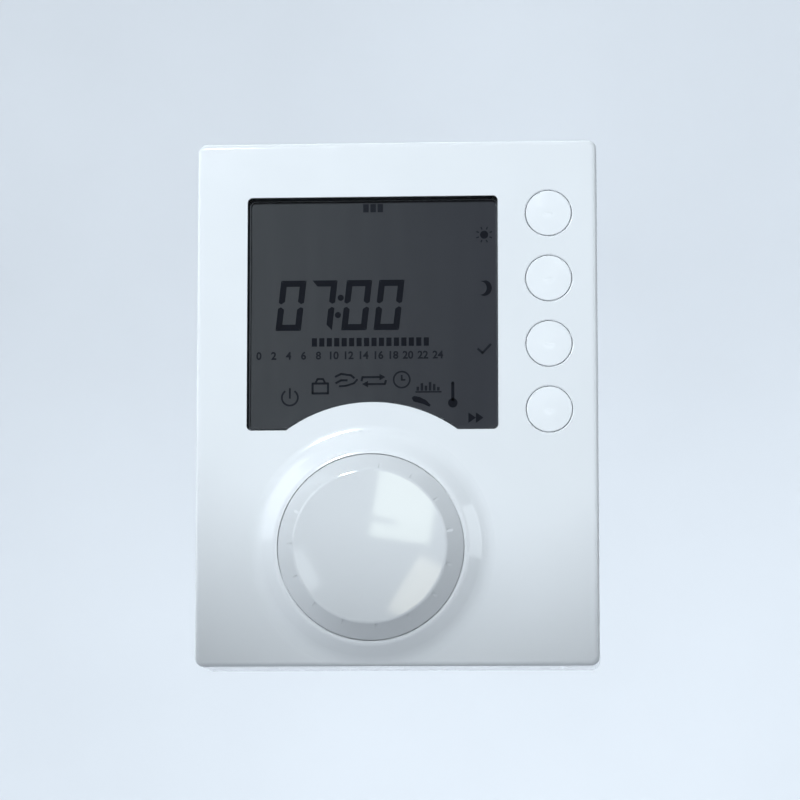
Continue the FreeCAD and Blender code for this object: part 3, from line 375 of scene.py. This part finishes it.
# ------------------------------------------------------ flat display artwork
class Art:
    """Flat shapes in millimetres on an upright plane, given a little thickness."""

    THICK = 0.03

    def __init__(self, name, origin, mat, slot):
        self.name = name
        self.origin = origin
        self.mat = mat
        self.slot = slot
        self.bm = bmesh.new()

    def point(self, x, y, depth=0.0):
        return self.bm.verts.new((self.origin.x + x / 1000, self.origin.y - depth / 1000,
                                  self.origin.z + y / 1000))

    def poly(self, pts):
        """A filled outline, wound anticlockwise as seen from the front."""
        front = [self.point(x, y, self.THICK) for x, y in pts]
        back = [self.point(x, y) for x, y in pts]
        self.bm.faces.new(front)
        self.bm.faces.new(back[::-1])
        for i in range(len(pts)):
            j = (i + 1) % len(pts)
            self.bm.faces.new((front[j], front[i], back[i], back[j]))

    def rect(self, x0, y0, x1, y1):
        self.poly([(x0, y0), (x1, y0), (x1, y1), (x0, y1)])

    def disc(self, x, y, r, steps):
        self.poly([(x + r * math.cos(a), y + r * math.sin(a))
                   for a in (2 * math.pi * i / steps for i in range(steps))])

    def arc(self, x, y, r, width, start, end, steps=32):
        """A curved stroke between two angles in degrees, as joined short quads."""
        for i in range(steps):
            a = math.radians(start + (end - start) * i / steps)
            b = math.radians(start + (end - start) * (i + 1) / steps)
            inner = r - width / 2
            outer = r + width / 2
            self.poly([(x + inner * math.cos(a), y + inner * math.sin(a)),
                       (x + outer * math.cos(a), y + outer * math.sin(a)),
                       (x + outer * math.cos(b), y + outer * math.sin(b)),
                       (x + inner * math.cos(b), y + inner * math.sin(b))])

    def line(self, x0, y0, x1, y1, width):
        run = math.hypot(x1 - x0, y1 - y0)
        nx = -(y1 - y0) / run * width / 2
        ny = (x1 - x0) / run * width / 2
        self.poly([(x0 - nx, y0 - ny), (x1 - nx, y1 - ny), (x1 + nx, y1 + ny),
                   (x0 + nx, y0 + ny)])

    def path(self, pts, width):
        """A bent stroke with rounded bends."""
        for (x0, y0), (x1, y1) in zip(pts, pts[1:]):
            self.line(x0, y0, x1, y1, width)
        for x, y in pts[1:-1]:
            self.disc(x, y, width / 2, 10)

    def done(self, body=HOUSING):
        """Makes the object from all the shapes drawn so far."""
        mesh = bpy.data.meshes.new(self.name)
        bmesh.ops.recalc_face_normals(self.bm, faces=self.bm.faces)
        self.bm.to_mesh(mesh)
        self.bm.free()
        obj = bpy.data.objects.new(self.name, mesh)
        bpy.context.scene.collection.objects.link(obj)
        obj.data.materials.append(self.mat)
        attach(obj, body)


def clock_digit(art, x, y, segments):
    """One leaning figure. Its outer segments a to f run clockwise from the top."""
    wide, high, stroke, lean = 5.1, 10.15, 1.24, 0.112
    gap = 0.05
    half = high / 2
    cut = stroke * 0.92
    tip_x = stroke * 0.45
    outer_y, tip_y, inner_y = 0.60, 0.30, 0.80

    def lean_over(pts):
        return [(x + px + py * lean, y + py) for px, py in pts]

    shapes = {
        "a": [(gap, high), (cut + gap, high - stroke), (wide - cut - gap, high - stroke),
              (wide - gap, high)],
        "d": [(gap, 0), (wide - gap, 0), (wide - cut - gap, stroke), (cut + gap, stroke)],
        "f": [(0, high - gap), (0, half + outer_y), (tip_x, half + tip_y),
              (stroke, half + inner_y), (stroke, high - cut - gap)],
        "e": [(0, gap), (stroke, cut + gap), (stroke, half - inner_y), (tip_x, half - tip_y),
              (0, half - outer_y)],
        "b": [(wide, high - gap), (wide - stroke, high - cut - gap),
              (wide - stroke, half + inner_y), (wide - tip_x, half + tip_y),
              (wide, half + outer_y)],
        "c": [(wide, gap), (wide, half - outer_y), (wide - tip_x, half - tip_y),
              (wide - stroke, half - inner_y), (wide - stroke, cut + gap)],
    }
    for name in segments:
        art.poly(lean_over(shapes[name]))


# Hour figures, in metres: half their thickness, how much bolder they are than the
# typeface, and how far they stand in front of the artwork's plane.
TEXT_HALF_THICK = 0.000012
TEXT_BOLDER = 0.00006
TEXT_OUT = 0.00002


def text_piece(name, words, x, y, size, origin, mat):
    """A short figure in the plain built-in typeface, as a thin mesh."""
    curve = bpy.data.curves.new(name + "_text", "FONT")
    curve.body = words
    curve.size = size / 1000
    curve.align_x = "CENTER"
    curve.align_y = "CENTER"
    curve.extrude = TEXT_HALF_THICK
    curve.offset = TEXT_BOLDER
    curve.resolution_u = 3
    holder = bpy.data.objects.new(name + "_text", curve)
    bpy.context.scene.collection.objects.link(holder)
    bpy.context.view_layer.update()
    mesh = bpy.data.meshes.new_from_object(holder)
    bpy.data.objects.remove(holder)
    bpy.data.curves.remove(curve)
    mesh.name = name
    obj = bpy.data.objects.new(name, mesh)
    bpy.context.scene.collection.objects.link(obj)
    turn = Euler((math.radians(90), 0, 0)).to_matrix().to_4x4()
    mesh.transform(turn)
    for vert in mesh.vertices:
        vert.co += Vector((origin.x + x / 1000, origin.y - TEXT_OUT, origin.z + y / 1000))
    mesh.materials.clear()
    mesh.materials.append(mat)
    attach(obj, HOUSING)
    return obj


def join(name, objs):
    """One mesh piece from several, keeping the first one's material."""
    bm = bmesh.new()
    for obj in objs:
        bm.from_mesh(obj.data)
    mesh = bpy.data.meshes.new(name)
    bm.to_mesh(mesh)
    bm.free()
    mesh.materials.append(objs[0].data.materials[0])
    for obj in objs:
        bpy.data.objects.remove(obj)
    joined = bpy.data.objects.new(name, mesh)
    bpy.context.scene.collection.objects.link(joined)
    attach(joined, HOUSING)
    return joined


INK = ink_material("crystal_dark", (0.0055, 0.0060, 0.0115))
INK_SOFT = ink_material("crystal_soft", (0.014, 0.015, 0.021))

# The artwork's zero is the display window's lower left corner, in front of the panel.
ART_OUT = 0.00001
win_lo, _ = corners("display_window")
panel_lo, _ = corners("lcd_front_polariser")
ART_AT = Vector((win_lo.x, panel_lo.y - ART_OUT, win_lo.z))

ZERO = "abcdef"
SEVEN = "abc"
DIGIT_Y = 20.3
COLON_R = 0.62
digits = Art("clock_figures", ART_AT, INK, "polariser")
for x, segments in ((5.4, ZERO), (11.65, SEVEN), (18.6, ZERO), (25.1, ZERO)):
    clock_digit(digits, x, DIGIT_Y, segments)
for x, up in ((18.5, 6.6), (17.95, 3.1)):
    digits.disc(x, DIGIT_Y + up, COLON_R, 16)
digits.done()

# The day's scale: an hour's step, the blocks that are on, and the figures under them.
HOUR_X0 = 2.1
HOUR_STEP = 1.495
FIRST_ON, FIRST_OFF = 7, 23
BLOCK_Y0, BLOCK_Y1 = 17.05, 18.75
BLOCK_START = 0.16
BLOCK_GAP = 0.46
HOUR_Y = 15.15
HOUR_SIZE = 2.15
bar = Art("hour_blocks", ART_AT, INK, "polariser")
for hour in range(FIRST_ON, FIRST_OFF):
    x0 = HOUR_X0 + HOUR_STEP * hour + BLOCK_START
    bar.rect(x0, BLOCK_Y0, x0 + HOUR_STEP - BLOCK_GAP, BLOCK_Y1)
bar.done()

scale = [text_piece("hour_%d" % hour, str(hour), HOUR_X0 + HOUR_STEP * hour, HOUR_Y, HOUR_SIZE,
                    ART_AT, INK_SOFT) for hour in range(0, 25, 2)]
join("hour_scale", scale)

SUN_X, SUN_Y = 47.3, 39.4
MOON_X, MOON_Y = 47.3, 28.6
MOON_BITE = 0.8

icons = Art("mode_symbols", ART_AT, INK_SOFT, "polariser")
# standby
icons.arc(8.35, 6.8, 1.6, 0.36, 125, 415)
icons.line(8.35, 6.6, 8.35, 8.7, 0.36)
# away case
icons.path([(12.9, 7.6), (12.9, 9.6), (16.0, 9.6), (16.0, 7.6), (12.9, 7.6), (12.9, 8.0)], 0.42)
icons.path([(13.5, 9.7), (13.9, 10.5), (15.0, 10.5), (15.4, 9.7)], 0.38)
# hand
icons.path([(17.4, 10.9), (18.6, 11.5), (20.6, 11.2), (21.3, 10.6)], 0.42)
icons.path([(17.5, 9.6), (18.6, 10.2), (19.9, 10.2)], 0.42)
icons.path([(18.2, 9.0), (19.6, 9.1), (21.2, 9.6), (21.9, 10.4)], 0.38)
# repeat loop, for running by itself
icons.path([(22.7, 10.0), (22.9, 10.8), (26.6, 10.8)], 0.42)
icons.path([(27.6, 10.2), (27.4, 9.4), (23.7, 9.4)], 0.42)
icons.poly([(26.3, 10.15), (27.5, 10.8), (26.3, 11.45)])
icons.poly([(24.0, 8.75), (24.0, 10.05), (22.8, 9.4)])
# clock
icons.arc(30.75, 10.25, 1.62, 0.34, 0, 360)
icons.path([(30.75, 11.2), (30.75, 10.2), (31.5, 10.2)], 0.34)
# programme steps
for i, high in enumerate((0.8, 1.5, 1.0, 1.7, 1.3, 0.7)):
    icons.rect(33.7 + i * 0.82, 8.0, 34.22 + i * 0.82, 8.0 + high)
icons.line(33.5, 7.75, 38.7, 7.75, 0.3)
# tick
icons.path([(45.9, 16.4), (46.9, 15.5), (48.6, 17.3)], 0.46)
# days
for i in range(3):
    icons.rect(23.0 + i * 1.45, 44.2, 24.1 + i * 1.45, 45.9)
# sun's rays
for i in range(8):
    a = math.radians(45 * i + 22)
    icons.line(SUN_X + 1.15 * math.cos(a), SUN_Y + 1.15 * math.sin(a),
               SUN_X + 1.7 * math.cos(a), SUN_Y + 1.7 * math.sin(a), 0.26)
icons.done()

marks = Art("dark_symbols", ART_AT, INK, "polariser")
# thermometer
marks.disc(40.95, 5.5, 0.95, 24)
marks.line(40.95, 5.9, 40.95, 9.5, 0.62)
marks.disc(40.95, 9.5, 0.31, 12)
# pointer under the programme symbol
marks.poly([(32.75, 6.55), (33.1, 5.85), (35.0, 5.35), (36.3, 4.75), (36.55, 5.1), (35.6, 6.1),
            (34.3, 6.75), (33.2, 6.95)])
# sun
marks.disc(SUN_X, SUN_Y, 0.82, 24)
# next arrows
marks.poly([(44.05, 1.45), (45.55, 2.5), (44.05, 3.55)])
marks.poly([(45.55, 1.45), (47.05, 2.5), (45.55, 3.55)])
# moon
outer = [(MOON_X + 1.5 * math.cos(math.radians(a)), MOON_Y + 1.6 * math.sin(math.radians(a)))
         for a in range(-115, 116, 10)]
inner = [(MOON_X - MOON_BITE + 1.28 * math.cos(math.radians(a)),
          MOON_Y + 1.35 * math.sin(math.radians(a))) for a in range(-95, 96, 10)]
for (a, b), (c, d) in zip(zip(outer, outer[1:]), zip(inner, inner[1:])):
    marks.poly([c, a, b, d])
marks.done()


# ------------------------------------------------------------ floor and room
def stage_sheet():
    """A pale sheet that lies as a floor and curves up as a backdrop well behind."""
    below_object = 0.30
    low = CAD_BOX[0][2] - below_object
    front, back, high, wide, bend, bend_steps = -3.0, 1.9, 2.9, 3.4, 0.7, 12
    bm = bmesh.new()
    line = [(front, low), (back - bend, low)]
    for i in range(1, bend_steps + 1):
        a = math.radians(90 * i / bend_steps)
        line.append((back - bend + bend * math.sin(a), low + bend - bend * math.cos(a)))
    line.append((back, low + high))
    rows = [[bm.verts.new((x, y, z)) for y, z in line] for x in (-wide, wide)]
    for i in range(len(line) - 1):
        bm.faces.new((rows[0][i], rows[1][i], rows[1][i + 1], rows[0][i + 1]))
    mesh = bpy.data.meshes.new("studio_sheet")
    bm.to_mesh(mesh)
    bm.free()
    for poly in mesh.polygons:
        poly.use_smooth = True
    obj = bpy.data.objects.new("studio_sheet", mesh)
    bpy.context.scene.collection.objects.link(obj)
    mat, tree, shader = new_material("studio_paper")
    at = place(tree)
    tint = ramp(tree, noise(tree, at, 0.004, 3),
                [(0.3, (0.66, 0.67, 0.70)), (0.7, (0.69, 0.70, 0.73))])
    tree.links.new(tint, shader.inputs["Base Color"])
    shader.inputs["Roughness"].default_value = 0.9
    mesh.materials.append(mat)


stage_sheet()


def link_light(name, data, at, aim, roll=0.0):
    """Places a light, turns it to its aim and hides it from the camera."""
    obj = bpy.data.objects.new(name, data)
    obj.location = at
    facing = (Vector(aim) - Vector(at)).to_track_quat("-Z", "Y")
    obj.rotation_euler = (facing @ Quaternion((0, 0, 1), math.radians(roll))).to_euler()
    obj.visible_camera = False
    bpy.context.scene.collection.objects.link(obj)
    return obj


def softbox(name, at, aim, size, radiance, colour, roll=0.0):
    """A rectangular light whose face has the same brightness whatever its size."""
    data = bpy.data.lights.new(name, "AREA")
    data.shape = "RECTANGLE"
    data.size, data.size_y = size
    data.energy = radiance * math.pi * size[0] * size[1]
    data.color = colour
    return link_light(name, data, at, aim, roll)


def key_spot(name, at, aim, power, cone, radius, colour):
    """A soft-edged lamp that fades out towards the foot of the object."""
    data = bpy.data.lights.new(name, "SPOT")
    data.energy = power
    data.spot_size = math.radians(cone)
    data.spot_blend = 0.15
    data.shadow_soft_size = radius
    data.color = colour
    link_light(name, data, at, aim)


COOL = (0.862, 0.945, 1.0)
PALE = (0.90, 1.0, 0.86)
WARM = (1.0, 0.96, 0.76)
CENTRE = Vector((0, -0.02, 0))
KEY_AIM = (0.006, 0, 0.0395)
KEY_POWER = 25.3
KEY_CONE = 12.7
KEY_RADIUS = 0.028
knob_lo, knob_hi = corners("dial_knob")
KNOB = Vector(((knob_lo.x + knob_hi.x) / 2, knob_lo.y, (knob_lo.z + knob_hi.z) / 2))

key_spot("key", (-0.17, -0.82, 0.34), KEY_AIM, KEY_POWER, KEY_CONE, KEY_RADIUS, COOL)
for name, at, size, radiance, roll in (
        ("upper_left_box", (-0.88, -0.40, 0.50), (0.85, 0.50), 2.5, 58),
        ("low_left_box", (-0.42, -0.95, -0.16), (0.06, 0.26), 1.2, 0),
        ("left_strip", (-0.85, -0.72, 0.0), (0.04, 1.2), 3.0, 0),
        ("right_box", (0.86, -0.43, 0.20), (0.26, 0.50), 3.2, 0),
        ("top_strip", (0.0, -0.72, 0.85), (1.2, 0.03), 2.0, 0),
        ("foot_strip", (0.0, -0.80, -0.30), (1.0, 0.02), 2.0, 0),
        ("left_rim", (-1.0, 0.55, 0.05), (0.3, 1.2), 5.5, 0),
        ("right_rim", (1.0, 0.55, 0.05), (0.2, 1.2), 2.0, 0),
        ("top_rim", (0.0, 0.50, 1.0), (1.2, 0.3), 5.0, 0)):
    softbox(name, at, CENTRE, size, radiance, COOL, roll)
back_wash = softbox("back_wash", (0.0, 0.80, 1.4), (0, 1.9, -0.1), (2.4, 0.5), 3.7, COOL)
back_wash.data.spread = math.radians(90)

# Small panels close to the dial, which its polished flat top mirrors. A step on the
# knob's top, in millimetres from its middle, is a step of PANEL_STEP metres on their plane.
PANEL_OUT = 0.15
PANEL_STEP = 0.00122
PANEL_AT = KNOB + Vector((-0.0107, -PANEL_OUT, 0.0127))
for name, right, up, wide, high, roll, glow, colour in (
        ("dial_upper_panel", 7.38, 10.77, 12.0, 12.15, -9, 4.6, PALE),
        ("dial_middle_panel", 8.73, 3.95, 7.2, 0.9, -9, 4.6, PALE),
        ("dial_lower_panel", 6.06, 2.42, 12.0, 2.95, -9, 4.6, PALE),
        ("dial_right_panel", 9.15, -8.6, 12.5, 5.5, 58.6, 3.6, WARM),
        ("dial_left_panel", -12.97, -4.77, 8.65, 3.5, -60.2, 3.0, COOL)):
    at = PANEL_AT + Vector((right, 0, up)) * PANEL_STEP
    softbox(name, at, at + Vector((0, 1, 0)), (wide * PANEL_STEP, high * PANEL_STEP), glow,
            colour, roll)

WORLD_COLOUR = (0.88, 0.94, 1.0, 1)
WORLD_STRENGTH = 0.045
world = bpy.data.worlds.new("studio")
bpy.context.scene.world = world
world.use_nodes = True
background = world.node_tree.nodes["Background"]
background.inputs["Color"].default_value = WORLD_COLOUR
background.inputs["Strength"].default_value = WORLD_STRENGTH

CAMERA_AT = (0.0432, -0.70, -0.0861)
CAMERA_TILT = 97.231
CAMERA_PAN = 3.576
CAMERA_LENS = 155.4
CAMERA_SENSOR = 36.0
camera_data = bpy.data.cameras.new("camera")
camera_data.sensor_width = CAMERA_SENSOR
camera_data.lens = CAMERA_LENS
camera = bpy.data.objects.new("camera", camera_data)
camera.location = CAMERA_AT
camera.rotation_euler = (math.radians(CAMERA_TILT), 0, math.radians(CAMERA_PAN))
bpy.context.scene.collection.objects.link(camera)
bpy.context.scene.camera = camera
bpy.context.scene.view_settings.view_transform = "Standard"
